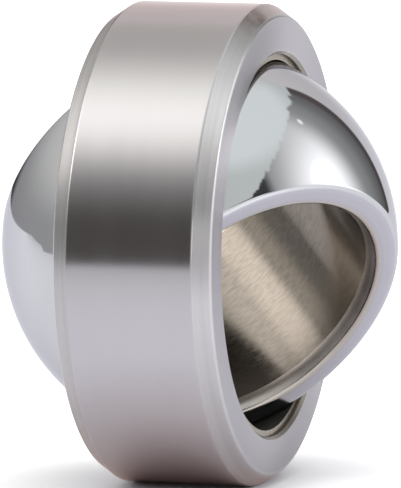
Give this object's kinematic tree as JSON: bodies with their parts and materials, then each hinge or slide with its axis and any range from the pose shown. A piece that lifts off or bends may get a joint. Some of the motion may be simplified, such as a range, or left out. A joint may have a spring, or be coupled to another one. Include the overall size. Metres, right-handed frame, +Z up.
{
  "type": "spherical plain bearing",
  "caption": "Radial spherical plain bearing: a ball-shaped inner ring with a plain bore swivels in a chamfered steel outer ring lined with a thin sliding layer.",
  "frame": {"origin": "centre of the ball, where the axes of both rings cross, in the middle of the outer ring's width", "axes": "+X along the outer ring's axis, +Z up as the bearing stands on its outer diameter; at rest the inner ring's axis is swung 49.3 degrees away from +X, down and towards -Y"},
  "size_m": [0.0286, 0.035, 0.035],
  "materials": {
    "satin_steel": "ground bearing steel with a fine satin grain round its axis",
    "bright_chrome": "mirror-polished hard chrome on the ball surface, ground steel in the bore",
    "bronze_liner": "matt bronze-backed sliding layer, dark on its running side"
  },
  "bodies": {
    "outer_ring": {"outer_ring": "satin_steel"},
    "swing_plane": {"sliding_layer": "bronze_liner"},
    "inner_ring": {"inner_ring": "bright_chrome"}
  },
  "joints": [
    {"name": "turn", "type": "hinge", "parent": "outer_ring", "child": "swing_plane", "pos_m": [0, 0, 0], "axis": [1, 0, 0], "continuous": true},
    {"name": "swing", "type": "hinge", "parent": "swing_plane", "child": "inner_ring", "pos_m": [0, 0, 0], "axis": [0, 0.7627, -0.6468], "range_deg": [-58.3, 40.7]}
  ]
}
